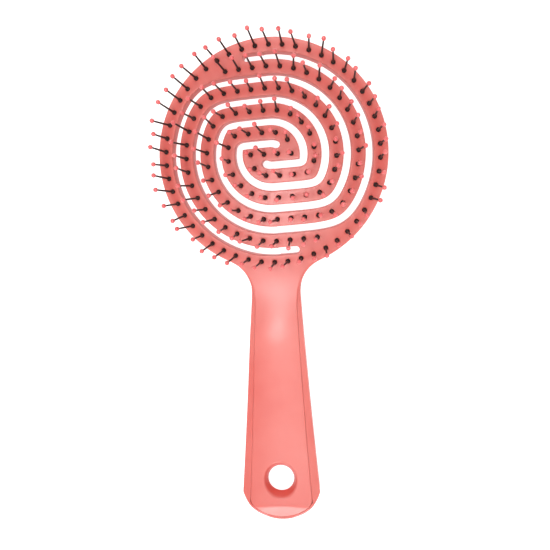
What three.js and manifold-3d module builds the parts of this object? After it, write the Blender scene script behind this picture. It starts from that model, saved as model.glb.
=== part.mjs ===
// Vented detangling hair brush: a round head pierced by two spiral slots, rows of nylon pins
// on the arms between the slots, and a flat tapered handle with a hanging hole.
// Millimetres, +Z up. The brush lies on its back with its pins up, head towards +Y.
import * as THREE from 'three';
import { mergeVertices } from 'three/addons/utils/BufferGeometryUtils.js';
import Module from 'manifold-3d';

const wasm = await Module();
wasm.setup();

// Driving dimensions.
const headRadius = 58;
const domeRadius = 400;          // the head bulges gently towards the pins
const ringPitch = 10.8;          // from one spiral arm to the next
const slotWidth = 3.8;
const firstTurn = 93;            // degrees: where a spiral first leaves its inner circle
const slotStart = 60;            // degrees round the head
const slotEnd = 823;
const slotStep = 9;              // degrees between the points of a slot
const cornerSharpness = 14;      // how tightly a straight run bends into the next circle

const handleEnd = -188.3;        // from the head's centre
const endRadius = 21;
const cornerAngle = 17;          // degrees below the end arc's centre, where the sides meet it
const neckHalfWidth = 12.4;
const neckAt = -69;
const neckFillet = 17;
const sideSag = 0.35;            // the long sides curve in by this much halfway
const holeAt = -166.4;
const holeMouth = 8.7;           // radius of the hanging hole at both faces
const holeWaist = 6.9;           // radius at its narrowest, where the shells meet

const frontThickness = 3.2;
const seamGap = 0.3;
const headThickness = 6.3;
const restLevel = -10.5;         // back of the handle, measured from the top of the dome
const handleLevel = -1.5;        // front of the handle, on the same scale
const bendStart = -46;           // the dome begins to run into the handle here
const bendEnd = -96;
const bendPasses = 3;            // times that an edge may be halved to follow the curve
const bendTolerance = 0.1;       // how far a facet may stray from the curve

const panelTop = -72;            // the handle panel narrows here to leave the side rails
const railWidthTop = 1.9;
const railWidthEnd = 4.3;
const railDrop = 0.8;            // the rails lie this much below the panel
const lipWidth = 1.3;            // rear shell showing past the panel's end
const trayWall = 1.6;
const trayFloor = 1.2;
const bossRadius = 10.5;

const pinPitch = 6.87;
const rimRadius = 53.9;
const rimPins = 50;
const armPins = 48;
const bridgePitch = 6.75;
const firstArmPin = 39;          // degrees, first pin after the bridge
const pinLength = 19.3;          // face to the middle of the ball tip
const collarRadius = 1.1;
const collarHeight = 0.6;
const stemRadius = 0.45;
const tipRadius = 1.2;
const carrierWidth = 3;
const carrierThickness = 1;
const carrierEnd = 1.9;          // how far a carrier runs past its last pin
const fit = 0.3;
const socketGap = 0.39;          // clearance round a collar where it passes the front shell
const collarTaper = 0.3;         // height over which the collar runs into the stem

// How many straight runs stand for each curve.
const pinSides = 4;
const endSteps = 8;
const panelSteps = 6;
const sideSteps = 6;
const filletSteps = 6;
const headSteps = 22;
const slotEndSteps = 6;
const holeSteps = 32;
const bossSteps = 20;

// Small lengths that the construction itself needs.
const overshoot = 1;             // how far a cutting cone runs past a face
const cutDepth = 20;             // half height of a cutting plate
const slopeProbe = 0.01;
const mergeDistance = 1e-5;
const walkStep = 0.25;           // degrees
const longestRow = 350;

const seam = -frontThickness - seamGap;
const stripPins = 6;
const rimStripPins = 5;

const coral = new THREE.MeshStandardMaterial({ color: 0xee6f66, roughness: 0.28, metalness: 0 });
const nylon = new THREE.MeshStandardMaterial({ color: 0x1c1513, roughness: 0.45, metalness: 0 });

const radians = THREE.MathUtils.degToRad;
const point = (x, y) => new THREE.Vector2(x, y);
const degreesOf = THREE.MathUtils.radToDeg;

function polar(radius, angle) {
  return point(radius * Math.cos(radians(angle)), radius * Math.sin(radians(angle)));
}

function solidFrom(geometry) {
  const bare = geometry.clone();
  bare.deleteAttribute('normal');
  bare.deleteAttribute('uv');
  const merged = mergeVertices(bare, mergeDistance);
  const mesh = new wasm.Mesh({
    numProp: 3,
    vertProperties: new Float32Array(merged.attributes.position.array),
    triVerts: new Uint32Array(merged.index.array),
  });
  return new wasm.Manifold(mesh);
}

function plate(outline, top, bottom) {
  const settings = { depth: top - bottom, bevelEnabled: false };
  const flat = new THREE.ExtrudeGeometry(new THREE.Shape(outline), settings);
  return solidFrom(flat.translate(0, 0, bottom));
}

// Points on an arc, both ends included.
function arc(x, y, radius, from, to, steps) {
  return Array.from({ length: steps + 1 }, (_, i) => {
    const p = polar(radius, from + (to - from) * i / steps);
    return point(p.x + x, p.y + y);
  });
}

const mirrored = (half) => [...half, ...half.slice().reverse().map((p) => point(-p.x, p.y))];

// A spiral keeps to one circle for about a quarter of a turn, runs straight off it along a
// tangent, and bends into the next circle out. rings counts circles from the centre in pitches.
function spiralRadius(rings, degrees) {
  const turned = degrees - firstTurn;
  if (turned < 0) return rings * ringPitch;
  const halfTurns = Math.floor(turned / 180);
  const inner = (rings + halfTurns) * ringPitch;
  const outer = inner + ringPitch;
  const lean = Math.max(Math.cos(radians(turned - 180 * halfTurns)), 0);
  const sum = (lean / inner) ** cornerSharpness + outer ** -cornerSharpness;
  return sum ** (-1 / cornerSharpness);
}

const spiralPoint = (rings, degrees, turn = 0) => polar(spiralRadius(rings, degrees), degrees + turn);

// A point and heading at each of many distances along a spiral, from a starting angle.
function walkSpiral(rings, start, turn) {
  const places = [];
  let along = 0;
  let last = spiralPoint(rings, start, turn);
  for (let degrees = start; along < longestRow; degrees += walkStep) {
    const here = spiralPoint(rings, degrees + walkStep, turn);
    places.push({ along, at: last });
    along += here.distanceTo(last);
    last = here;
  }
  return (distance) => {
    const next = places.findIndex((place) => place.along > distance);
    const after = places[Math.max(next, 1)];
    const before = places[Math.max(next, 1) - 1];
    const share = (distance - before.along) / (after.along - before.along);
    return before.at.clone().lerp(after.at, share);
  };
}

// Outline of a band of constant width along a path, with round or square ends.
function band(path, halfWidth, capSteps) {
  const heading = (i) => {
    const from = path[Math.max(i - 1, 0)];
    const to = path[Math.min(i + 1, path.length - 1)];
    return degreesOf(Math.atan2(to.y - from.y, to.x - from.x));
  };
  const side = (i, turn) => polar(halfWidth, heading(i) + turn).add(path[i]);
  const cap = (i, from, to) => capSteps
    ? arc(path[i].x, path[i].y, halfWidth, heading(i) + from, heading(i) + to, capSteps)
    : [side(i, from), side(i, to)];
  const inside = path.slice(1, -1).map((_, i) => i + 1);
  return [
    ...cap(0, 270, 90),
    ...inside.map((i) => side(i, 90)),
    ...cap(path.length - 1, 90, -90),
    ...inside.reverse().map((i) => side(i, -90)),
  ];
}

const endCentre = handleEnd + endRadius;
const corner = polar(endRadius, -cornerAngle).add(point(0, endCentre));
const filletX = neckHalfWidth + neckFillet;
const sideLean = degreesOf(Math.atan((corner.x - neckHalfWidth) / (neckAt - corner.y)));
const filletEnd = degreesOf(Math.atan2(-neckAt, -filletX));
const headJoin = degreesOf(Math.atan2(neckAt, filletX));

const neckAndHead = [
  ...arc(filletX, neckAt, neckFillet, 180 + sideLean, filletEnd, filletSteps),
  ...arc(0, 0, headRadius, headJoin, 90, headSteps).slice(1, -1),
  point(0, headRadius),
];

// The side edge of the handle at a height y, drawn in by an inset.
function handleSide(y, inset) {
  const share = (neckAt - y) / (neckAt - corner.y);
  const sag = 4 * sideSag * share * (1 - share);
  return point(neckHalfWidth + (corner.x - neckHalfWidth) * share - sag - inset, y);
}

// Points up that edge from the corner to a height, while the inset changes evenly.
function sideRun(top, insetEnd, insetTop) {
  return Array.from({ length: sideSteps + 1 }, (_, i) => {
    const share = i / sideSteps;
    const y = THREE.MathUtils.lerp(corner.y, top, share);
    return handleSide(y, THREE.MathUtils.lerp(insetEnd, insetTop, share));
  });
}

const endArc = arc(0, endCentre, endRadius, -90, -cornerAngle, endSteps).slice(0, -1);

function outerOutline() {
  return mirrored([...endArc, ...sideRun(neckAt, 0, 0).slice(0, -1), ...neckAndHead]).slice(1);
}

// Half of a rounded panel inside the handle's outline: its end arc, then its side up to a height.
function innerHalf(radius, top, insetEnd, insetTop) {
  const meet = -degreesOf(Math.acos(handleSide(corner.y, insetEnd).x / radius));
  const end = arc(0, endCentre, radius, -90, meet, panelSteps);
  return [...end, ...sideRun(top, insetEnd, insetTop).slice(1)];
}

// Front panel of the handle, grown all round by an allowance.
function panelHalf(allowance) {
  const radius = endRadius - lipWidth + allowance;
  return innerHalf(radius, panelTop + allowance, railWidthEnd - allowance, railWidthTop - allowance);
}

function frontOutline() {
  return mirrored([...panelHalf(0), handleSide(panelTop, 0), ...neckAndHead]).slice(1);
}

const railOutline = () => mirrored([...endArc, ...sideRun(panelTop - seamGap, 0, 0)]).slice(1);

function trayOutline() {
  const radius = endRadius - lipWidth - trayWall;
  return mirrored(innerHalf(radius, neckAt, railWidthEnd + trayWall, railWidthTop + trayWall)).slice(1);
}

// Height of the face: the dome of the head, run level along the handle.
const domeHeight = (x, y) => THREE.MathUtils.lerp(
  -(x * x + y * y) / (2 * domeRadius),
  handleLevel,
  THREE.MathUtils.smoothstep(-y, -bendStart, -bendEnd),
);

// Puts a point of the flat brush, with z its height above the face, in its real place.
function bend({ x, y, z }) {
  const face = domeHeight(x, y);
  const d = slopeProbe;
  const slopeX = (domeHeight(x + d, y) - domeHeight(x - d, y)) / (2 * d);
  const slopeY = (domeHeight(x, y + d) - domeHeight(x, y - d)) / (2 * d);
  const normal = new THREE.Vector3(-slopeX, -slopeY, 1).normalize();
  const bent = new THREE.Vector3(x, y, face).addScaledVector(normal, z);
  if (z < seam) {
    const flatness = THREE.MathUtils.smoothstep(-y, -bendStart, -bendEnd);
    const depth = (seam - z) / (seam + headThickness);
    bent.z = THREE.MathUtils.lerp(bent.z, face + seam + (restLevel - face - seam) * depth, flatness);
  }
  return bent;
}

// Splits one triangle at those of its edges that have a middle point. With two such edges the
// remaining four-sided piece is cut along its shorter diagonal.
function splitTriangle([a, b, c], middle, points) {
  const [ab, bc, ca] = [middle(a, b), middle(b, c), middle(c, a)];
  const count = [ab, bc, ca].filter((m) => m >= 0).length;
  if (count === 0) return [[a, b, c]];
  if (count === 3) return [[a, ab, ca], [ab, b, bc], [ca, bc, c], [ab, bc, ca]];
  const splitFirst = count === 1 ? ab >= 0 : ca < 0;
  if (!splitFirst) return splitTriangle([b, c, a], middle, points);
  if (count === 1) return [[a, ab, c], [ab, b, c]];
  const fromA = points[a].distanceTo(points[bc]) < points[c].distanceTo(points[ab]);
  const rest = fromA ? [[a, ab, bc], [a, bc, c]] : [[a, ab, c], [ab, bc, c]];
  return [[ab, b, bc], ...rest];
}

// Bends a flat solid, after halving the edges that are too long to follow the curve.
function bendSolid(solid) {
  const mesh = solid.getMesh();
  const points = [];
  for (let i = 0; i < mesh.vertProperties.length; i += 3) {
    points.push(new THREE.Vector3(...mesh.vertProperties.slice(i, i + 3)));
  }
  let triangles = [];
  for (let i = 0; i < mesh.triVerts.length; i += 3) {
    triangles.push(Array.from(mesh.triVerts.slice(i, i + 3)));
  }
  for (let pass = 0; pass < bendPasses; pass++) {
    const middles = new Map();
    const middle = (a, b) => {
      const key = `${Math.min(a, b)}_${Math.max(a, b)}`;
      if (!middles.has(key)) {
        const half = points[a].clone().lerp(points[b], 0.5);
        const chord = bend(points[a]).lerp(bend(points[b]), 0.5);
        const strays = bend(half).distanceTo(chord) > bendTolerance;
        middles.set(key, strays ? points.push(half) - 1 : -1);
      }
      return middles.get(key);
    };
    triangles = triangles.flatMap((triangle) => splitTriangle(triangle, middle, points));
  }
  const coordinates = points.flatMap((p) => bend(p).toArray());
  const geometry = new THREE.BufferGeometry();
  geometry.setAttribute('position', new THREE.Float32BufferAttribute(coordinates, 3));
  geometry.setIndex(triangles.flat());
  return geometry;
}

// The rows that the pins stand in.
const rimPath = (distance) => polar(rimRadius, 90 + degreesOf(distance / rimRadius));
const rimPitch = 2 * Math.PI * rimRadius / rimPins;
const bridgePath = (distance) => point(distance, 0);
const leadIn = 4;                // length of an arm's path before its first pin
const armStart = firstArmPin - degreesOf(leadIn / ringPitch);

// Each row is a path, the distance to its first pin, the pitch, and how many pins a strip holds.
const rows = [
  { name: 'bridge', path: bridgePath, first: -1.5 * bridgePitch, pitch: bridgePitch, strips: 1, pins: 4 },
  { name: 'upper_arm', path: walkSpiral(1, armStart, 0), first: leadIn, pitch: pinPitch,
    strips: armPins / stripPins, pins: stripPins },
  { name: 'lower_arm', path: walkSpiral(1, armStart, 180), first: leadIn, pitch: pinPitch,
    strips: armPins / stripPins, pins: stripPins },
  { name: 'rim', path: rimPath, first: 0, pitch: rimPitch, strips: rimPins / rimStripPins, pins: rimStripPins },
];

// Points along a row from a little before one of its pins to a little after another, with one
// point at each pin between them.
function stretch(row, firstPin, lastPin, runOut) {
  const distance = (pin) => row.first + row.pitch * pin;
  const pins = Array.from({ length: lastPin - firstPin + 1 }, (_, i) => distance(firstPin + i));
  return [distance(firstPin) - runOut, ...pins, distance(lastPin) + runOut].map(row.path);
}

const slotPath = (turn) => {
  const path = [];
  const steps = Math.round((slotEnd - slotStart) / slotStep);
  for (let i = 0; i <= steps; i++) {
    path.push(spiralPoint(0.5, slotStart + (slotEnd - slotStart) * i / steps, turn));
  }
  return path;
};

const slots = [0, 180].map((turn) => {
  return plate(band(slotPath(turn), slotWidth / 2, slotEndSteps), cutDepth, -cutDepth);
});

function pinHoles() {
  const radius = collarRadius + socketGap;
  return rows.flatMap((row) => Array.from({ length: row.strips * row.pins }, (_, i) => {
    const at = row.path(row.first + row.pitch * i);
    return plate(arc(at.x, at.y, radius, 0, 360, pinSides).slice(1), cutDepth, -cutDepth);
  }));
}

// Hanging hole through one shell, as a cone between two heights.
function holeCut(topRadius, top, bottomRadius, bottom) {
  const profile = [point(0, bottom), point(bottomRadius, bottom), point(topRadius, top), point(0, top)];
  const cone = new THREE.LatheGeometry(profile, holeSteps).rotateX(Math.PI / 2);
  return solidFrom(cone.translate(0, holeAt, 0));
}

function frontShell() {
  const holes = wasm.Manifold.union(pinHoles());
  const widening = overshoot * (holeMouth - holeWaist) / frontThickness;
  const hole = holeCut(holeMouth + widening, overshoot, holeWaist - widening, -frontThickness - overshoot);
  let shell = plate(frontOutline(), 0, -frontThickness);
  for (const tool of [...slots, holes, hole]) shell = shell.subtract(tool);
  return bendSolid(shell);
}

function rearShell() {
  const bottom = -headThickness;
  const widening = overshoot * (holeMouth - holeWaist) / (seam - bottom);
  const hole = holeCut(holeWaist - widening, seam + overshoot, holeMouth + widening, bottom - overshoot);
  const channels = rows.map((row) => {
    const floor = seam - carrierThickness - fit;
    const half = carrierWidth / 2 + fit;
    if (row.name === 'rim') {
      const disc = (radius, bottomLevel) => {
        return plate(arc(0, 0, radius, 90, 450, rimPins).slice(1), cutDepth, bottomLevel);
      };
      return disc(rimRadius + half, floor).subtract(disc(rimRadius - half, -cutDepth));
    }
    const path = stretch(row, 0, row.strips * row.pins - 1, carrierEnd + 2 * fit);
    return plate(band(path, half, 0), cutDepth, floor);
  });
  const boss = plate(arc(0, holeAt, bossRadius, 0, 360, bossSteps).slice(1), cutDepth, -cutDepth);
  const tray = plate(trayOutline(), cutDepth, bottom + trayFloor).subtract(boss);
  const panelRoom = plate(mirrored(panelHalf(seamGap)).slice(1), cutDepth, seam);
  const rails = plate(railOutline(), -railDrop, seam).subtract(panelRoom);
  let shell = plate(outerOutline(), seam, bottom);
  for (const tool of [...slots, ...channels, tray, hole]) shell = shell.subtract(tool);
  return bendSolid(shell.add(rails));
}

function pinSolid(at) {
  const foot = seam - carrierThickness / 2;
  const profile = [
    point(0, foot),
    point(collarRadius, foot),
    point(collarRadius, collarHeight),
    point(stemRadius, collarHeight + collarTaper),
    point(stemRadius, pinLength - tipRadius),
    point(tipRadius, pinLength),
    point(0, pinLength + tipRadius),
  ];
  const pin = new THREE.LatheGeometry(profile, pinSides).rotateX(Math.PI / 2).rotateZ(Math.PI / 2);
  return solidFrom(pin.translate(at.x, at.y, 0));
}

// One flexible carrier with its pins. Its top lies against the back of the front shell.
function bristleStrip(row, index) {
  const first = row.pins * index;
  const path = stretch(row, first, first + row.pins - 1, carrierEnd);
  let strip = plate(band(path, carrierWidth / 2, 0), seam, seam - carrierThickness);
  for (let i = 0; i < row.pins; i++) {
    strip = strip.add(pinSolid(row.path(row.first + row.pitch * (first + i))));
  }
  return bendSolid(strip);
}

const brush = new THREE.Group();
brush.position.set(0, -(handleEnd + headRadius) / 2, -restLevel);

function place(name, geometry, material) {
  const mesh = new THREE.Mesh(geometry, material);
  mesh.name = name;
  brush.add(mesh);
}

place('front_shell', frontShell(), coral);
place('rear_shell', rearShell(), coral);
for (const row of rows) {
  for (let i = 0; i < row.strips; i++) {
    const label = row.strips > 1 ? `_${i + 1}` : '';
    place(`${row.name}_bristle_strip${label}`, bristleStrip(row, i), nylon);
  }
}

export default brush;
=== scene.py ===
import math

import bmesh
import bpy
import numpy as np
from mathutils import Matrix, Vector
from mathutils.geometry import delaunay_2d_cdt


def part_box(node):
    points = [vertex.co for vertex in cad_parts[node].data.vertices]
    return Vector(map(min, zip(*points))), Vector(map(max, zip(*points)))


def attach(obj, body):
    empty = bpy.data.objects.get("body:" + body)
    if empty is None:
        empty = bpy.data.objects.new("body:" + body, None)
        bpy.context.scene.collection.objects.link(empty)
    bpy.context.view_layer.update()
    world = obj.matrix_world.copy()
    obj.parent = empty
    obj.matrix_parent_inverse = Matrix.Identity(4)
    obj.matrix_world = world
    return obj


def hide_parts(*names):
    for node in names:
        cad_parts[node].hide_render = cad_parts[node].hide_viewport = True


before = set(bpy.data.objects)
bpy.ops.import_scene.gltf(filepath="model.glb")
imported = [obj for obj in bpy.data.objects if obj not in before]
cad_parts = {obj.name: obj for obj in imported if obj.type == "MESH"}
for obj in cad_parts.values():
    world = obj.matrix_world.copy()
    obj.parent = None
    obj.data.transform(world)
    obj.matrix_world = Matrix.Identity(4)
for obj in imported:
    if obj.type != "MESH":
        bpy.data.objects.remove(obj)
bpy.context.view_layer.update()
mm = 0.001

# the plan of the brush, in millimetres from the middle of the head
plan = {
    "headRadius": 58.0,
    "domeRadius": 400.0,       # how gently the head bulges towards the pins
    "ringPitch": 10.8,         # from one spiral arm to the next
    "firstTurn": 93.0,         # degrees, where a spiral leaves its inner circle
    "cornerSharpness": 14.0,   # how tightly a straight run bends into the next circle
    "seam": -3.5,              # where the two shells meet, below the face
    "thickness": 6.3,
    "restLevel": -10.5,        # back of the handle, below the top of the dome
    "handleLevel": -1.5,       # front of the handle
    "bendStart": 46.0,         # the dome runs into the handle between these two
    "bendEnd": 96.0,
}
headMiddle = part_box("front_shell")[1].y / mm - plan["headRadius"]
print("frame read, middle of the head at y", round(headMiddle, 2), "mm")


def polar(radius, degrees):
    angle = np.radians(degrees)
    return np.stack([radius * np.cos(angle), radius * np.sin(angle)], -1)


def arc(centre, radius, start, end, steps):
    return polar(radius, np.linspace(start, end, steps + 1)) + np.array(centre)


def smoothStep(value, low, high):
    share = np.clip((value - low) / (high - low), 0, 1)
    return share * share * (3 - 2 * share)


# a circle for part of each half turn, then a straight tangent run, then the next circle out
def spiralRadius(rings, degrees):
    turned = np.asarray(degrees, float) - plan["firstTurn"]
    halfTurns = np.maximum(np.floor(turned / 180), 0)
    inner = (rings + halfTurns) * plan["ringPitch"]
    outer = inner + plan["ringPitch"]
    lean = np.maximum(np.cos(np.radians(turned - 180 * halfTurns)), 0)
    sharp = plan["cornerSharpness"]
    bent = ((lean / inner) ** sharp + outer ** -sharp) ** (-1 / sharp)
    return np.where(turned < 0, rings * plan["ringPitch"], bent)


def spiralPath(rings, start, end, turn):
    degrees = np.arange(start, end + 0.01, 0.25)
    return polar(spiralRadius(rings, degrees), degrees + turn)


def pathLength(path):
    return np.linalg.norm(np.diff(path, axis=0), axis=1).sum()


def pointsAlong(path, places):
    along = np.concatenate([[0], np.cumsum(np.linalg.norm(np.diff(path, axis=0), axis=1))])
    return np.stack([np.interp(places, along, path[:, axis]) for axis in (0, 1)], -1)


# the same outline with even spacing, closed up again
def evenLoop(loop, spacing):
    path = np.concatenate([loop, loop[:1]])
    count = int(round(pathLength(path) / spacing))
    return pointsAlong(path, np.linspace(0, pathLength(path), count + 1))[:-1]


def softened(loop, passes):
    for _ in range(passes):
        loop = (np.roll(loop, 1, 0) + 2 * loop + np.roll(loop, -1, 0)) / 4
    return loop


# unit steps away from the middle of a loop that runs anticlockwise
def outward(loop):
    ahead = np.roll(loop, -1, 0) - np.roll(loop, 1, 0)
    ahead /= np.linalg.norm(ahead, axis=1, keepdims=True)
    return np.stack([ahead[:, 1], -ahead[:, 0]], -1)


def insideLoop(points, loop):
    x, y = points[:, :1], points[:, 1:]
    x0, y0 = loop[:, 0], loop[:, 1]
    x1, y1 = np.roll(x0, -1), np.roll(y0, -1)
    spans = (y0 > y) != (y1 > y)
    rise = np.where(y1 == y0, 1e-9, y1 - y0)
    crosses = spans & (x < (x1 - x0) * (y - y0) / rise + x0)
    return crosses.sum(1) % 2 == 1


handlePlan = {
    "end": -188.3,
    "endRadius": 21.0,
    "cornerAngle": 17.0,      # where the long sides meet the end arc
    "neckHalf": 12.4,
    "neckAt": -69.0,
    "neckFillet": 17.0,
    "sideSag": 0.35,          # the long sides curve in by this much halfway
    "panelTop": -64.0,        # the side rails grow out of the neck from here
    "panelFull": -76.0,
    "railTop": 1.9,
    "railEnd": 4.3,
    "lip": 1.3,               # rear shell showing past the end of the front panel
    "crown": 0.9,             # how much the panel bulges
    "crownGrows": (60, 88),   # below the middle of the head
    "facetAt": -180.4,        # a sloping facet closes the panel from here to its end
    "facetLength": 6.6,
    "facetDrop": 2.1,
    "facetBow": 0.8,          # how far its upper edge bows up in the middle
    "facetHalf": 15.0,        # half the width of that bow
    "facetEase": 0.08,        # softens its upper edge
    "holeAt": -166.4,
    "holeMouth": 9.3,         # half height of the hole's mouth
    "holeMouthWidth": 8.4,    # and half its width
    "holeWaist": 6.7,
}
endMiddle = handlePlan["end"] + handlePlan["endRadius"]
cornerPoint = arc((0, endMiddle), handlePlan["endRadius"], -handlePlan["cornerAngle"], 0, 1)[0]
filletX = handlePlan["neckHalf"] + handlePlan["neckFillet"]
headJoin = math.degrees(math.atan2(handlePlan["neckAt"], filletX))


# half width of the handle at a height y
def handleHalf(y):
    y = np.asarray(y, float)
    neckAt = handlePlan["neckAt"]
    share = (neckAt - y) / (neckAt - cornerPoint[1])
    side = handlePlan["neckHalf"] + (cornerPoint[0] - handlePlan["neckHalf"]) * share
    side = side - 4 * handlePlan["sideSag"] * share * (1 - share)
    rise = np.clip(y - neckAt, 0, handlePlan["neckFillet"])
    fillet = filletX - np.sqrt(handlePlan["neckFillet"] ** 2 - rise ** 2)
    return np.where(y > neckAt, fillet, side)


def railWidth(y):
    share = np.clip((handlePlan["neckAt"] - y) / (handlePlan["neckAt"] - cornerPoint[1]), 0, 1)
    full = handlePlan["railTop"] + (handlePlan["railEnd"] - handlePlan["railTop"]) * share
    return full * smoothStep(-np.asarray(y, float), -handlePlan["panelTop"], -handlePlan["panelFull"])


# how far the front face stands above its plain level: a soft crown, and a facet at the end
def faceLift(x, y):
    half = handleHalf(y) - railWidth(y)
    crown = handlePlan["crown"] * (1 - np.clip(np.abs(x) / half, 0, 1) ** 2)
    crown = crown * smoothStep(-y, *handlePlan["crownGrows"])
    bow = handlePlan["facetBow"] * (1 - (x / handlePlan["facetHalf"]) ** 2)
    past = np.clip((handlePlan["facetAt"] + bow - y) / handlePlan["facetLength"], 0, 1.1)
    down = past * past / (past + handlePlan["facetEase"])
    return crown * (1 - np.clip(past, 0, 1)) - handlePlan["facetDrop"] * down


def domeHeight(x, y):
    flat = smoothStep(-y, plan["bendStart"], plan["bendEnd"])
    dome = -(x * x + y * y) / (2 * plan["domeRadius"])
    return dome + (plan["handleLevel"] - dome) * flat


def faceNormal(x, y):
    step = 0.01     # for the slopes
    slopeX = (domeHeight(x + step, y) - domeHeight(x - step, y)) / (2 * step)
    slopeY = (domeHeight(x, y + step) - domeHeight(x, y - step)) / (2 * step)
    normal = np.stack([-slopeX, -slopeY, np.ones_like(slopeX)], -1)
    return normal / np.linalg.norm(normal, axis=-1, keepdims=True)


# puts points of the flat brush, z being the height above its face, in their real places
def bend(points):
    x, y, z = points.T
    face, seam = domeHeight(x, y), plan["seam"]
    bent = np.stack([x, y, face], -1) + faceNormal(x, y) * z[:, None]
    flat = smoothStep(-y, plan["bendStart"], plan["bendEnd"])
    depth = (seam - z) / (seam + plan["thickness"])
    rear = face + seam + (plan["restLevel"] - face - seam) * depth
    bent[:, 2] = np.where(z < seam, bent[:, 2] + (rear - bent[:, 2]) * flat, bent[:, 2])
    bent[:, 2] += faceLift(x, y) * np.clip((z - seam) / -seam, 0, 1.2)
    bent[:, 1] += headMiddle
    bent[:, 2] -= plan["restLevel"]
    return bent * mm


# a rounded edge, as (distance in from the edge, height) pairs from the wall round to the face
def roundEdge(radius, face, steps, support):
    turn = 1 if face > plan["seam"] - 1.5 else -1
    angles = np.linspace(0, math.pi / 2, steps + 1)
    ring = [(radius * (1 - math.cos(a)), face - turn * radius * (1 - math.sin(a))) for a in angles]
    return ring + [(radius + support, face)]


# a flat plate between loops. Each loop is (points, profile, isHole, room), and its profile lists
# (distance into the material, height) from the plate's underside to its face. Room scales the
# distances, and the depth of the rounding next to the face
def plateMesh(loops, innerPoints):
    nearFace = 1.3
    verts, faces, start = [], [], 0
    lowEdge, highEdge = [], []
    for points, profile, isHole, room in loops:
        count = len(points)
        room = np.broadcast_to(room, count)
        into = outward(points) * (1 if isHole else -1) * room[:, None]
        face = profile[-1][1]
        for inset, height in profile:
            scale = room if abs(face - height) < nearFace else 1
            level = face - (face - height) * scale * np.ones(count)
            verts.append(np.column_stack([points + into * inset, level]))
        for level in range(len(profile) - 1):
            a = start + level * count
            for i in range(count):
                j = (i + 1) % count
                faces.append((a + i, a + j, a + count + j, a + count + i))
        lowEdge.append((start, count, isHole))
        highEdge.append((start + (len(profile) - 1) * count, count, isHole))
        start += len(profile) * count
    verts = np.concatenate(verts)
    for edges in (lowEdge, highEdge):
        owners = np.concatenate([np.arange(s, s + n) for s, n, _ in edges])
        flatPoints = verts[owners, :2]
        level = verts[owners[0], 2]
        links, base = [], 0
        for _, n, _ in edges:
            links += [(base + i, base + (i + 1) % n) for i in range(n)]
            base += n
        coords = [Vector(p) for p in flatPoints] + [Vector(p) for p in innerPoints]
        outPoints, _, triangles, origins, _, _ = delaunay_2d_cdt(coords, links, [], 1, 1e-6)
        names = []
        for point, origin in zip(outPoints, origins):
            source = min(origin) if origin else -1
            if 0 <= source < len(owners):
                names.append(owners[source])
            else:
                names.append(len(verts))
                verts = np.vstack([verts, [point.x, point.y, level]])
        loopOf = {}
        for index, (s, n, isHole) in enumerate(edges):
            if isHole:
                loopOf.update({s + i: index for i in range(n)})
        tests = {}
        kept = [tuple(names[v] for v in triangle) for triangle in triangles]
        for t, triangle in enumerate(kept):
            found = {loopOf.get(v, -1) for v in triangle}
            if len(found) == 1 and -1 not in found:
                tests.setdefault(found.pop(), []).append(t)
        dropped = set()
        for index, members in tests.items():
            s, n, _ = edges[index]
            middles = np.array([verts[list(kept[t]), :2].mean(0) for t in members])
            inside = insideLoop(middles, verts[s:s + n, :2])
            dropped.update(t for t, hit in zip(members, inside) if hit)
        faces += [triangle for t, triangle in enumerate(kept) if t not in dropped]
    return verts, faces


def makePiece(name, verts, faces, material, sharpAngle=48):
    mesh = bpy.data.meshes.new(name)
    mesh.from_pydata([tuple(v) for v in verts], [], [tuple(int(i) for i in f) for f in faces])
    work = bmesh.new()
    work.from_mesh(mesh)
    bmesh.ops.remove_doubles(work, verts=work.verts, dist=2e-7)
    bmesh.ops.recalc_face_normals(work, faces=work.faces)
    work.to_mesh(mesh)
    work.free()
    mesh.polygons.foreach_set("use_smooth", [True] * len(mesh.polygons))
    mesh.set_sharp_from_angle(angle=math.radians(sharpAngle))
    mesh.materials.append(material)
    piece = bpy.data.objects.new(name, mesh)
    bpy.context.scene.collection.objects.link(piece)
    return piece


# the materials' node trees are put together from these short helpers
def newMaterial(name):
    material = bpy.data.materials.new(name)
    material.use_nodes = True
    nodes = material.node_tree.nodes
    shader = next(n for n in nodes if n.type == "BSDF_PRINCIPLED")
    place = nodes.new("ShaderNodeTexCoord")
    return material, nodes, material.node_tree.links, shader, place


def addNoise(nodes, links, place, scale, detail):
    noise = nodes.new("ShaderNodeTexNoise")
    noise.inputs["Scale"].default_value = scale
    noise.inputs["Detail"].default_value = detail
    links.new(place.outputs["Object"], noise.inputs["Vector"])
    return noise


def addRamp(nodes, links, source, stops):
    ramp = nodes.new("ShaderNodeValToRGB")
    elements = ramp.color_ramp.elements
    elements[0].position, elements[0].color = stops[0]
    elements[1].position, elements[1].color = stops[-1]
    for position, colour in stops[1:-1]:
        elements.new(position).color = colour
    links.new(source, ramp.inputs["Fac"])
    return ramp


def addRange(nodes, links, source, low, high):
    spread = nodes.new("ShaderNodeMapRange")
    spread.inputs["To Min"].default_value = low
    spread.inputs["To Max"].default_value = high
    links.new(source, spread.inputs["Value"])
    return spread


def addBump(nodes, links, source, shader, strength, distance):
    bump = nodes.new("ShaderNodeBump")
    bump.inputs["Strength"].default_value = strength
    bump.inputs["Distance"].default_value = distance
    links.new(source, bump.inputs["Height"])
    links.new(bump.outputs["Normal"], shader.inputs["Normal"])


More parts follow.
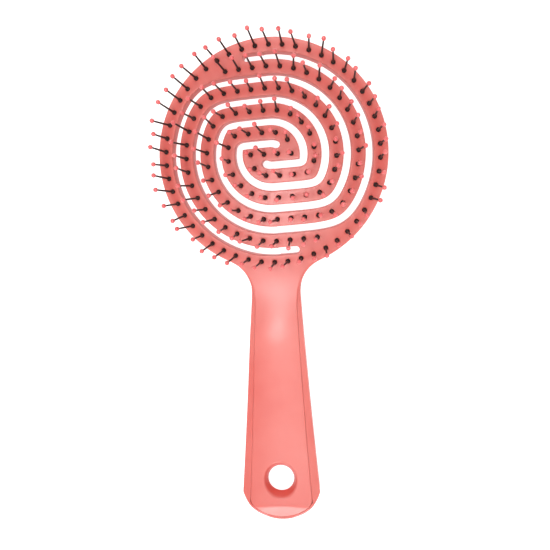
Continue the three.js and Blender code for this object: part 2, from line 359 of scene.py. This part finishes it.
coralLooks = {
    "deep": (0.586, 0.112, 0.092, 1),
    "plain": (0.618, 0.142, 0.119, 1),
    "pale": (0.646, 0.174, 0.148, 1),
    "shadeTint": (0.560, 0.052, 0.036, 1),
    "shadeStrength": 0.85,
    "rowShade": 0.55,       # the face is darker along the pin rows
    "wallShade": 0.60,      # painted shade in the slots and down the sides
    # painted shade down the hanging hole, stronger and starting nearer the face
    "boreShade": 1.0,
    "wallDepths": (0.16, 0.38),     # the wall's shade grows between these shares of the thickness
    "boreDepths": (0.03, 0.10),
    "backDepths": (0.72, 0.88),     # and fades out again towards the back
    "rowSpread": (0.8, 2.7),        # millimetres from a row, over which its shade fades
    "gloss": (0.28, 0.38),
    "glow": 0.10,           # light that gets under the surface
    "glowReach": (0.0020, 0.0006, 0.0004),
}


def coralPlastic():
    material, nodes, links, shader, place = newMaterial("coralPlastic")
    clouds = addNoise(nodes, links, place, 22, 4)       # slow drift in the moulded colour
    colour = addRamp(nodes, links, clouds.outputs["Fac"], [
        (0.30, coralLooks["deep"]), (0.50, coralLooks["plain"]), (0.72, coralLooks["pale"])])
    # painted shade down the walls and the hanging hole, and a darker band along the pin rows: the
    # shade attribute mixes the colour towards a deeper red
    shade = nodes.new("ShaderNodeAttribute")
    shade.attribute_name = "shade"
    strength = addRange(nodes, links, shade.outputs["Fac"], 0, coralLooks["shadeStrength"])
    tint = nodes.new("ShaderNodeMix")
    tint.data_type = "RGBA"
    factor, plain, tinted = (tint.inputs[i] for i in (0, 6, 7))     # the colour sockets of the node
    links.new(strength.outputs["Result"], factor)
    links.new(colour.outputs["Color"], plain)
    tinted.default_value = coralLooks["shadeTint"]
    links.new(tint.outputs[2], shader.inputs["Base Color"])
    smears = addNoise(nodes, links, place, 95, 6)       # handling marks in the gloss
    gloss = addRange(nodes, links, smears.outputs["Fac"], *coralLooks["gloss"])
    links.new(gloss.outputs["Result"], shader.inputs["Roughness"])
    peel = addNoise(nodes, links, place, 520, 3)        # fine ripple left by the mould
    addBump(nodes, links, peel.outputs["Fac"], shader, 0.10, 0.0002)
    shader.inputs["Subsurface Weight"].default_value = coralLooks["glow"]
    shader.inputs["Subsurface Radius"].default_value = coralLooks["glowReach"]
    shader.inputs["Subsurface Scale"].default_value = 1.0
    shader.inputs["IOR"].default_value = 1.5
    return material


nylonLooks = {
    "dark": (0.014, 0.004, 0.003, 1),
    "worn": (0.030, 0.009, 0.007, 1),
    "gloss": (0.40, 0.55),
    "sheen": 0.28,          # specular level
}


def blackNylon():
    material, nodes, links, shader, place = newMaterial("blackNylon")
    grain = addNoise(nodes, links, place, 900, 4)
    colour = addRamp(nodes, links, grain.outputs["Fac"], [
        (0.35, nylonLooks["dark"]), (0.70, nylonLooks["worn"])])
    links.new(colour.outputs["Color"], shader.inputs["Base Color"])
    gloss = addRange(nodes, links, grain.outputs["Fac"], *nylonLooks["gloss"])
    links.new(gloss.outputs["Result"], shader.inputs["Roughness"])
    addBump(nodes, links, grain.outputs["Fac"], shader, 0.08, 0.0001)
    shader.inputs["Specular IOR Level"].default_value = nylonLooks["sheen"]
    return material


tipLooks = {
    "deep": (0.600, 0.100, 0.100, 1),
    "pale": (0.700, 0.145, 0.140, 1),
    "gloss": (0.24, 0.34),
    "glow": 0.15,
    "glowReach": (0.0012, 0.0004, 0.0003),
}


def coralTip():
    material, nodes, links, shader, place = newMaterial("coralTip")
    clouds = addNoise(nodes, links, place, 60, 3)
    colour = addRamp(nodes, links, clouds.outputs["Fac"], [
        (0.32, tipLooks["deep"]), (0.68, tipLooks["pale"])])
    links.new(colour.outputs["Color"], shader.inputs["Base Color"])
    beads = addNoise(nodes, links, place, 700, 3)
    gloss = addRange(nodes, links, beads.outputs["Fac"], *tipLooks["gloss"])
    links.new(gloss.outputs["Result"], shader.inputs["Roughness"])
    addBump(nodes, links, beads.outputs["Fac"], shader, 0.06, 0.0001)
    shader.inputs["Subsurface Weight"].default_value = tipLooks["glow"]
    shader.inputs["Subsurface Radius"].default_value = tipLooks["glowReach"]
    shader.inputs["Subsurface Scale"].default_value = 1.0
    return material


coral, nylon, tipPlastic = coralPlastic(), blackNylon(), coralTip()
print("materials made")

pinRows = {
    "rimRadius": 53.9,
    "rimPins": 50,
    "pitch": 6.87,
    "armPins": 48,
    "firstAngle": 39.0,      # of the first pin after the bridge
    "bridgePins": 4,
    "bridgePitch": 6.75,
}


# the lines that the rows of pins follow on the flat plan, and where the pins stand on them
def pinPlaces():
    bridgeHalf = (pinRows["bridgePins"] - 1) / 2 * pinRows["bridgePitch"]
    armLength = pinRows["pitch"] * (pinRows["armPins"] - 1)
    paths = {
        "rim": arc((0, 0), pinRows["rimRadius"], 90, 450, 900),
        "bridge": np.column_stack([np.linspace(-bridgeHalf, bridgeHalf, 60), np.zeros(60)]),
    }
    counts = {"rim": pinRows["rimPins"], "bridge": pinRows["bridgePins"]}
    for name, turn in (("upperArm", 0), ("lowerArm", 180)):
        path = spiralPath(1, pinRows["firstAngle"], 800, turn)
        paths[name] = pointsAlong(path, np.linspace(0, armLength, 1400))
        counts[name] = pinRows["armPins"]
    places = {}
    for name, path in paths.items():
        ends = np.linspace(0, pathLength(path), counts[name] + (name == "rim"))
        places[name] = pointsAlong(path, ends)[:counts[name]]
    return paths, places


rowPaths, pins = pinPlaces()

shellPlan = {
    "slotWidth": 3.8,
    "slotStart": 60.0,
    "slotEnd": 823.0,
    "spacing": 1.5,          # between the points of the outline
    "slotSpacing": 1.1,
    "railSpacing": 0.8,
    "endSteps": 30,          # in the arc at the handle's end
    "holeSteps": 56,
    "socketSteps": 14,
    "faceRound": 1.1,        # rounding of the face's outer edge
    "panelSharpness": 0.42,  # the same rounding shrinks to this share along the handle's panel
    "slotRound": 0.5,
    "backRound": 1.7,
    "socketRadius": 1.2,     # hole that a pin's collar sits in
    "socketRound": 0.25,
    "railLevel": -0.32,      # top of the side rails where they meet the panel
    "railSlope": 0.33,       # they fall away outwards
    "railRound": 0.38,
    "railRise": 0.45,        # depth that they come up from at the neck
    "railRiseLength": 14.0,
    "gap": 0.03,             # between the shells
    "seamNick": 0.14,        # fine groove where the shells meet round the outside
}


# outline of a slot: its path widened both ways, with round ends
def slotLoop(turn):
    half = shellPlan["slotWidth"] / 2
    path = spiralPath(0.5, shellPlan["slotStart"], shellPlan["slotEnd"], turn)
    ahead = np.gradient(path, axis=0)
    ahead /= np.linalg.norm(ahead, axis=1, keepdims=True)
    side = np.stack([ahead[:, 1], -ahead[:, 0]], -1) * half
    heading = np.degrees(np.arctan2(ahead[:, 1], ahead[:, 0]))
    capSteps = 12
    endCap = arc(path[-1], half, heading[-1] - 90, heading[-1] + 90, capSteps)[1:-1]
    startCap = arc(path[0], half, heading[0] + 90, heading[0] + 270, capSteps)[1:-1]
    loop = np.concatenate([path + side, endCap, (path - side)[::-1], startCap])
    return evenLoop(loop, shellPlan["slotSpacing"])


# right side of the head and neck, from the neck up to the crown of the head
def neckAndHead(fromY):
    radius, fillet = plan["headRadius"], handlePlan["neckFillet"]
    joinX = filletX * radius / (radius + fillet)
    ys = np.arange(fromY, handlePlan["neckAt"] + fillet * 0.89, 0.6)
    neck = np.column_stack([handleHalf(ys), ys])
    neck = neck[np.hypot(neck[:, 0], neck[:, 1]) > radius + 0.3]
    neck = neck[neck[:, 0] < joinX]
    return np.concatenate([neck, arc((0, 0), radius, headJoin, 90, 90)])


def mirroredLoop(half):
    left = half[::-1] * np.array([-1, 1])
    keep = np.abs(left[:, 0]) > 1e-6
    return np.concatenate([half, left[keep]])


# the handle's end arc and its long side up to a height
def endAndSide(top):
    radius, corner = handlePlan["endRadius"], handlePlan["cornerAngle"]
    end = arc((0, endMiddle), radius, -90, -corner, shellPlan["endSteps"])
    ys = np.arange(cornerPoint[1] + 1, top, 1.0)
    return np.concatenate([end, np.column_stack([handleHalf(ys), ys])])


def shellLoop(half):
    return softened(evenLoop(mirroredLoop(half), shellPlan["spacing"]), 2)


def outerLoop():
    neckAt = handlePlan["neckAt"]
    return shellLoop(np.concatenate([endAndSide(neckAt - 0.5), neckAndHead(neckAt)]))


# edge of the handle's front panel, drawn out by an allowance, from its end up to a height
def panelSide(allowance, top):
    radius = handlePlan["endRadius"] - handlePlan["lip"] + allowance
    ys = np.arange(-190, top, 0.5)
    xs = handleHalf(ys) - railWidth(ys) + allowance
    onSide = (np.hypot(xs, ys - endMiddle) < radius) | (ys > endMiddle)
    ys, xs = ys[onSide], xs[onSide]
    meet = math.degrees(math.atan2(ys[0] - endMiddle, xs[0]))
    end = arc((0, endMiddle), radius, -90, meet, 24)[:-1]
    return np.concatenate([end, np.column_stack([xs, ys])])


def frontLoop():
    top = handlePlan["panelTop"]
    return shellLoop(np.concatenate([panelSide(0, top - 0.3), neckAndHead(top)]))


# grid of points over the handle, so that its face can curve
def handleGrid(loop, spacing, holeRadius, fromY, toY):
    xs = np.arange(-21, 21.1, spacing)
    ys = np.arange(fromY, toY, spacing * 1.2)
    grid = np.array([(x, y) for y in ys for x in xs])
    grid = grid[insideLoop(grid, loop)]
    away = np.linalg.norm(grid[:, None] - loop[None], axis=2).min(1)
    hole = np.hypot(grid[:, 0], grid[:, 1] - handlePlan["holeAt"])
    return grid[(away > spacing * 1.1) & (hole > holeRadius + spacing * 0.9)]


# points along the pin rows and to both sides of them, clear of the sockets
def rowGrid():
    spacing, sideStep, clear = 1.3, 1.6, 0.45
    found = []
    for path in rowPaths.values():
        count = int(pathLength(path) / spacing)
        line = pointsAlong(path, np.linspace(0, pathLength(path), count))
        ahead = np.gradient(line, axis=0)
        ahead /= np.linalg.norm(ahead, axis=1, keepdims=True)
        side = np.stack([ahead[:, 1], -ahead[:, 0]], -1)
        found += [line + side * offset for offset in (-sideStep, 0, sideStep)]
    found = np.concatenate(found)
    everyPin = np.concatenate(list(pins.values()))
    away = np.linalg.norm(found[:, None] - everyPin[None], axis=2).min(1)
    return found[away > shellPlan["socketRadius"] + shellPlan["socketRound"] + clear]


# share of the flare at each point of the hanging hole, whose front mouth is taller than it is wide
def holeShares(loop):
    waist, mouth = handlePlan["holeWaist"], handlePlan["holeMouth"]
    sideShare = (handlePlan["holeMouthWidth"] - waist) / (mouth - waist)
    return sideShare + (1 - sideShare) * ((loop[:, 1] - handlePlan["holeAt"]) / waist) ** 2


holeLoop = arc((0, handlePlan["holeAt"]), handlePlan["holeWaist"], 0, 360, shellPlan["holeSteps"])[:-1]
slotLoops = [slotLoop(0), slotLoop(180)]


# the hanging hole narrows from both faces to its waist at the seam
def holeProfile(fromLevel, toLevel, rounding):
    flare = handlePlan["holeMouth"] - handlePlan["holeWaist"]
    shares = np.linspace(0, 1, 6)
    wall = [(flare * s ** 1.3, fromLevel + (toLevel - fromLevel) * 0.86 * s) for s in shares]
    side = math.copysign(rounding, toLevel - fromLevel)
    lip = [(flare + rounding * 0.35, toLevel - side * 0.35), (flare + rounding, toLevel),
           (flare + rounding + 0.35, toLevel)]
    return wall + lip


# how far the colour at each point leans to the deep tint: painted shade down the walls of the slots,
# the hanging hole and the sides, and a darker band along the pin rows
def addShade(piece, rowShade):
    places = np.array([vert.co[:] for vert in piece.data.vertices]) / mm - (0, headMiddle, 0)
    level = np.zeros(len(places))
    face = bend(np.column_stack([places[:, :2], level]))[:, 2] / mm
    back = bend(np.column_stack([places[:, :2], level - plan["thickness"]]))[:, 2] / mm
    depth = (face - places[:, 2]) / (face - back)
    fromHole = np.hypot(places[:, 0], places[:, 1] - handlePlan["holeAt"])
    bore = coralLooks["boreShade"] * smoothStep(depth, *coralLooks["boreDepths"])
    wall = coralLooks["wallShade"] * smoothStep(depth, *coralLooks["wallDepths"])
    wall = np.where(fromHole < handlePlan["holeMouth"] + 1, bore, wall)
    wall *= 1 - smoothStep(depth, *coralLooks["backDepths"])
    shade = piece.data.attributes.new("shade", "FLOAT", "POINT")
    shade.data.foreach_set("value", np.maximum(wall, rowShade))


def makeFrontShell():
    under = plan["seam"] + shellPlan["gap"]
    nick = shellPlan["seamNick"]
    outer = frontLoop()
    onPanel = smoothStep(-outer[:, 1], 62, 78)
    room = 1 - (1 - shellPlan["panelSharpness"]) * onPanel
    rim = [(nick + 0.3, under), (nick, under), (0, under + nick)]
    rim += roundEdge(shellPlan["faceRound"], 0, 5, 0.4)
    slot = [(0.3, under), (0, under)] + roundEdge(shellPlan["slotRound"], 0, 4, 0.3)
    socket = [(0, under)] + roundEdge(shellPlan["socketRound"], 0, 2, 0.15)
    loops = [(outer, rim, False, room)]
    loops += [(loop, slot, True, 1) for loop in slotLoops]
    loops.append((holeLoop, holeProfile(under, 0, 0.7), True, holeShares(holeLoop)))
    for row in pins.values():
        for place in row:
            ring = arc(place, shellPlan["socketRadius"], 0, 360, shellPlan["socketSteps"])[:-1]
            loops.append((ring, socket, True, 1))
    mouth = handlePlan["holeMouth"] + 1
    panelGrid = handleGrid(outer, 1.7, mouth, -176, -61)
    facetGrid = handleGrid(outer, 0.9, mouth, -188, -177)
    verts, faces = plateMesh(loops, np.concatenate([panelGrid, facetGrid, rowGrid()]))
    piece = makePiece("frontShell", bend(verts), faces, coral)
    places = np.array([vert.co[:2] for vert in piece.data.vertices]) / mm - (0, headMiddle)
    lines = np.concatenate(list(rowPaths.values()))[::3]
    away = np.full(len(places), 9.0)
    onHead = np.hypot(*places.T) < plan["headRadius"] + 1
    away[onHead] = np.linalg.norm(places[onHead][:, None] - lines[None], axis=2).min(1)
    addShade(piece, coralLooks["rowShade"] * (1 - smoothStep(away, *coralLooks["rowSpread"])))
    return piece


# the side rails and the lip stand up from the rear shell round the front panel
def railMesh():
    top = handlePlan["panelTop"] - 2
    seam, level = plan["seam"], shellPlan["railLevel"]
    outer = endAndSide(top)
    inner = panelSide(shellPlan["gap"], top)
    flip = np.array([-1, 1])
    loop = np.concatenate([(outer * flip)[:0:-1], outer, inner[::-1], (inner * flip)[1:]])
    loop = evenLoop(loop, shellPlan["railSpacing"])
    width = np.where(loop[:, 1] < cornerPoint[1], handlePlan["lip"], railWidth(loop[:, 1]))
    rounding = shellPlan["railRound"]
    room = np.clip(0.42 * width / (rounding + 0.12), 0.02, 1)
    profile = [(0, seam), (0, seam + 0.6)] + roundEdge(rounding, level, 4, 0.12)
    verts, faces = plateMesh([(loop, profile, False, room)], np.zeros((0, 2)))
    x, y, z = verts.T
    past = np.clip(np.abs(x) - handleHalf(y) + railWidth(y), 0, None)
    fall = shellPlan["railSlope"] * past
    fall += shellPlan["railRise"] * (1 - smoothStep(-y, -top, shellPlan["railRiseLength"] - top))
    verts[:, 2] = z - fall * np.clip((z - seam) / (level - seam), 0, 1)
    return verts, faces


def makeRearShell():
    seam, bottom, nick = plan["seam"], -plan["thickness"], shellPlan["seamNick"]
    back = roundEdge(shellPlan["backRound"], bottom, 6, 0.4)[::-1]
    outer = outerLoop()
    loops = [(outer, back + [(0, seam - nick), (nick, seam), (nick + 0.3, seam)], False, 1)]
    loops += [(loop, back + [(0, seam), (0.3, seam)], True, 1) for loop in slotLoops]
    loops.append((holeLoop, holeProfile(seam, bottom, 0.6)[::-1], True, 1))
    grid = handleGrid(outer, 2.6, handlePlan["holeMouth"] + 2, -188, -61)
    verts, faces = plateMesh(loops, grid)
    railVerts, railFaces = railMesh()
    faces = list(faces) + [tuple(v + len(verts) for v in face) for face in railFaces]
    piece = makePiece("rearShell", bend(np.vstack([verts, railVerts])), faces, coral)
    addShade(piece, 0)
    return piece


frontShell = makeFrontShell()
print("front shell", len(frontShell.data.polygons), "faces")
rearShell = makeRearShell()
print("rear shell", len(rearShell.data.polygons), "faces")

pinSizes = {
    "Pin Length": 19.3 * mm,
    "Stem Radius": 0.55 * mm,
    "Neck Radius": 0.40 * mm,
    "Collar Radius": 1.08 * mm,
    "Collar Height": 0.6 * mm,
    "Collar Depth": 2.2 * mm,
    "Tip Radius": 1.15 * mm,
    "Sway": math.radians(4.5),     # pins don't stand quite straight
}


def addSocket(tree, name, kind, default=None):
    socket = tree.interface.new_socket(name=name, in_out="INPUT", socket_type=kind)
    if default is not None:
        socket.default_value = default
    return socket.identifier


# geometry nodes: a stem on a collar, or its ball tip, stood on every point of a row
def pinTree():
    tree = bpy.data.node_groups.new("pinRow", "GeometryNodeTree")
    sockets = {"Row": addSocket(tree, "Row", "NodeSocketGeometry")}
    for name, size in pinSizes.items():
        sockets[name] = addSocket(tree, name, "NodeSocketFloat", size)
    sockets["Seed"] = addSocket(tree, "Seed", "NodeSocketInt", 1)
    sockets["Tips"] = addSocket(tree, "Tips", "NodeSocketBool", False)
    sockets["Finish"] = addSocket(tree, "Finish", "NodeSocketMaterial")
    tree.interface.new_socket(name="Pins", in_out="OUTPUT", socket_type="NodeSocketGeometry")
    nodes, links = tree.nodes, tree.links
    given = nodes.new("NodeGroupInput").outputs

    def solve(operation, a, b):
        node = nodes.new("ShaderNodeMath")
        node.operation = operation
        for socket, value in zip(node.inputs, (a, b)):
            if isinstance(value, (int, float)):
                socket.default_value = value
            else:
                links.new(value, socket)
        return node.outputs[0]

    def heightOf(value):
        node = nodes.new("ShaderNodeCombineXYZ")
        links.new(value, node.inputs["Z"])
        return node.outputs[0]

    def cone(sides, low, high, depth, lift=None):
        node = nodes.new("GeometryNodeMeshCone")
        node.inputs["Vertices"].default_value = sides
        links.new(low, node.inputs["Radius Bottom"])
        links.new(high, node.inputs["Radius Top"])
        links.new(depth, node.inputs["Depth"])
        if lift is None:
            return node.outputs["Mesh"]
        move = nodes.new("GeometryNodeTransform")
        links.new(node.outputs["Mesh"], move.inputs["Geometry"])
        links.new(heightOf(lift), move.inputs["Translation"])
        return move.outputs["Geometry"]

    stem = cone(10, given["Stem Radius"], given["Neck Radius"], given["Pin Length"])
    sunk = solve("MULTIPLY", given["Collar Depth"], -1)
    halfHeight = solve("MULTIPLY", given["Collar Height"], 0.5)
    collarLength = solve("ADD", given["Collar Depth"], halfHeight)
    collar = cone(14, given["Collar Radius"], given["Collar Radius"], collarLength, sunk)
    capTop = solve("MULTIPLY", given["Collar Radius"], 0.62)
    cap = cone(14, given["Collar Radius"], capTop, halfHeight, halfHeight)
    ball = nodes.new("GeometryNodeMeshUVSphere")
    ball.inputs["Segments"].default_value = 12
    ball.inputs["Rings"].default_value = 8
    links.new(given["Tip Radius"], ball.inputs["Radius"])
    ballUp = nodes.new("GeometryNodeTransform")
    ballUp.inputs["Scale"].default_value = (1, 1, 1.12)
    links.new(ball.outputs["Mesh"], ballUp.inputs["Geometry"])
    links.new(heightOf(given["Pin Length"]), ballUp.inputs["Translation"])
    whole = nodes.new("GeometryNodeJoinGeometry")
    for part in (stem, collar, cap):
        links.new(part, whole.inputs["Geometry"])
    choice = nodes.new("GeometryNodeSwitch")
    choice.input_type = "GEOMETRY"
    links.new(given["Tips"], choice.inputs["Switch"])
    links.new(whole.outputs["Geometry"], choice.inputs["False"])
    links.new(ballUp.outputs["Geometry"], choice.inputs["True"])

    stand = nodes.new("GeometryNodeInputNamedAttribute")
    stand.data_type = "FLOAT_VECTOR"
    stand.inputs["Name"].default_value = "stand"
    upright = nodes.new("FunctionNodeAlignRotationToVector")
    upright.axis = "Z"
    links.new(stand.outputs["Attribute"], upright.inputs["Vector"])
    random = nodes.new("FunctionNodeRandomValue")
    random.data_type = "FLOAT_VECTOR"
    spread = nodes.new("ShaderNodeCombineXYZ")
    links.new(given["Sway"], spread.inputs["X"])
    links.new(given["Sway"], spread.inputs["Y"])
    flip = nodes.new("ShaderNodeVectorMath")
    flip.operation = "SCALE"
    flip.inputs["Scale"].default_value = -1
    links.new(spread.outputs[0], flip.inputs[0])
    links.new(flip.outputs[0], random.inputs["Min"])
    links.new(spread.outputs[0], random.inputs["Max"])
    links.new(given["Seed"], random.inputs["Seed"])
    lean = nodes.new("FunctionNodeEulerToRotation")
    links.new(random.outputs[0], lean.inputs[0])
    turned = nodes.new("FunctionNodeRotateRotation")
    turned.rotation_space = "LOCAL"
    links.new(upright.outputs[0], turned.inputs[0])
    links.new(lean.outputs[0], turned.inputs[1])
    spreadOut = nodes.new("GeometryNodeInstanceOnPoints")
    links.new(given["Row"], spreadOut.inputs["Points"])
    links.new(choice.outputs[0], spreadOut.inputs["Instance"])
    links.new(turned.outputs[0], spreadOut.inputs["Rotation"])
    real = nodes.new("GeometryNodeRealizeInstances")
    links.new(spreadOut.outputs["Instances"], real.inputs["Geometry"])
    finish = nodes.new("GeometryNodeSetMaterial")
    links.new(real.outputs["Geometry"], finish.inputs["Geometry"])
    links.new(given["Finish"], finish.inputs["Material"])
    out = nodes.new("NodeGroupOutput")
    links.new(finish.outputs["Geometry"], out.inputs[0])
    return tree, sockets


pinNodes, pinSockets = pinTree()


def makePinRow(name, places, seed, tips, material):
    flat = np.column_stack([places, np.zeros(len(places))])
    base = bpy.data.meshes.new(name + "Row")
    base.from_pydata([tuple(p) for p in bend(flat)], [], [])
    stand = base.attributes.new("stand", "FLOAT_VECTOR", "POINT")
    stand.data.foreach_set("vector", faceNormal(places[:, 0], places[:, 1]).ravel())
    row = bpy.data.objects.new(name + "Row", base)
    bpy.context.scene.collection.objects.link(row)
    modifier = row.modifiers.new("pinRow", "NODES")
    modifier.node_group = pinNodes
    for socket, size in pinSizes.items():
        modifier[pinSockets[socket]] = size
    modifier[pinSockets["Seed"]] = seed
    modifier[pinSockets["Tips"]] = tips
    modifier[pinSockets["Finish"]] = material
    graph = bpy.context.evaluated_depsgraph_get()
    mesh = bpy.data.meshes.new_from_object(row.evaluated_get(graph))
    bpy.data.objects.remove(row)
    mesh.name = name
    mesh.polygons.foreach_set("use_smooth", [True] * len(mesh.polygons))
    mesh.set_sharp_from_angle(angle=math.radians(50))
    piece = bpy.data.objects.new(name, mesh)
    bpy.context.scene.collection.objects.link(piece)
    return piece


rowNodes = {
    "rim": [f"rim_bristle_strip_{i + 1}" for i in range(10)],
    "bridge": ["bridge_bristle_strip"],
    "upperArm": [f"upper_arm_bristle_strip_{i + 1}" for i in range(8)],
    "lowerArm": [f"lower_arm_bristle_strip_{i + 1}" for i in range(8)],
}
for seed, (rowName, places) in enumerate(pins.items()):
    stems = makePinRow(rowName + "Pins", places, seed + 3, False, nylon)
    tips = makePinRow(rowName + "Tips", places, seed + 3, True, tipPlastic)
    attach(stems, "root")
    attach(tips, "root")
    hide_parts(*rowNodes[rowName])
    print(rowName, len(places), "pins", len(stems.data.polygons) + len(tips.data.polygons), "faces")

for piece, node in ((frontShell, "front_shell"), (rearShell, "rear_shell")):
    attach(piece, "root")
    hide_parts(node)

studio = {
    "floorHalf": 4.0,       # metres
    "floorColour": (0.40, 0.40, 0.40, 1),
    "floorGlow": 0.92,
    "horizon": (1.0, 1.0, 1.0, 1),
    "lowSky": (0.86, 0.86, 0.86, 1),
    "overhead": (0.60, 0.60, 0.61, 1),
}
softboxes = {               # place, target, size and power
    "keyBox": ((0.0, -0.60, 1.38), (0, 0, 0), (0.80, 0.66), 3.6),
    "frontBox": ((0.03, -0.80, 0.29), (0, -0.05, 0), (0.42, 0.14), 2.7),
    "headBox": ((-0.05, 0.50, 0.46), (0, 0.08, 0), (0.42, 0.30), 1.2),
    "neckBox": ((-0.030, 0.010, 0.375), (0, -0.005, 0), (0.13, 0.05), 0.55),
}


def makeFloor():
    mesh = bpy.data.meshes.new("floor")
    corners = [(x * studio["floorHalf"], y * studio["floorHalf"], 0)
               for x, y in ((-1, -1), (1, -1), (1, 1), (-1, 1))]
    mesh.from_pydata(corners, [], [(0, 1, 2, 3)])
    floor = bpy.data.objects.new("floor", mesh)
    bpy.context.scene.collection.objects.link(floor)
    material, nodes, links, shader, place = newMaterial("paleFloor")
    dust = addNoise(nodes, links, place, 14, 3)
    tone = addRange(nodes, links, dust.outputs["Fac"], 0.66, 0.72)
    links.new(tone.outputs["Result"], shader.inputs["Roughness"])
    shader.inputs["Base Color"].default_value = studio["floorColour"]
    shader.inputs["Emission Color"].default_value = (1, 1, 1, 1)
    shader.inputs["Emission Strength"].default_value = studio["floorGlow"]
    mesh.materials.append(material)


def addSoftbox(name, place, target, size, power):
    light = bpy.data.lights.new(name, "AREA")
    light.shape = "RECTANGLE"
    light.size, light.size_y = size
    light.energy = power
    box = bpy.data.objects.new(name, light)
    box.location = place
    box.rotation_euler = (Vector(target) - Vector(place)).to_track_quat("-Z", "Y").to_euler()
    bpy.context.scene.collection.objects.link(box)


def makeStudio():
    world = bpy.data.worlds.new("studio")
    world.use_nodes = True
    nodes, links = world.node_tree.nodes, world.node_tree.links
    background = nodes["Background"]
    way = nodes.new("ShaderNodeTexCoord")
    split = nodes.new("ShaderNodeSeparateXYZ")
    links.new(way.outputs["Generated"], split.inputs[0])
    sky = addRamp(nodes, links, split.outputs["Z"], [
        (0.0, studio["horizon"]), (0.35, studio["lowSky"]), (0.95, studio["overhead"])])
    links.new(sky.outputs["Color"], background.inputs["Color"])
    bpy.context.scene.world = world
    for name, settings in softboxes.items():
        addSoftbox(name, *settings)


# camera, placed from the middle of the head, in millimetres
cameraPlan = {
    "place": (38.7, -31.7, 338.5),
    "aim": (0.35, -60.0, 0.0),
    "roll": 1.68,              # degrees
    "focal": 1.24,             # of the frame's width
    "sensor": 36.0,
}


def makeCamera():
    data = bpy.data.cameras.new("camera")
    camera = bpy.data.objects.new("camera", data)
    bpy.context.scene.collection.objects.link(camera)
    bpy.context.scene.camera = camera
    lift = np.array([0, headMiddle, -plan["restLevel"]])
    place = Vector((np.array(cameraPlan["place"]) + lift) * mm)
    aim = Vector((np.array(cameraPlan["aim"]) + lift) * mm)
    forward = (aim - place).normalized()
    right = forward.cross(Vector((0, 1, 0))).normalized()
    up = right.cross(forward)
    turn = Matrix.Rotation(math.radians(cameraPlan["roll"]), 4, forward)
    facing = Matrix((right, up, -forward)).transposed().to_4x4()
    camera.matrix_world = Matrix.Translation(place) @ turn @ facing
    data.sensor_width = cameraPlan["sensor"]
    data.lens = cameraPlan["sensor"] * cameraPlan["focal"]
    data.clip_start, data.clip_end = 0.01, 20


makeFloor()
makeStudio()
makeCamera()
bpy.context.scene.view_settings.view_transform = "Standard"
print("floor, lights and camera placed")
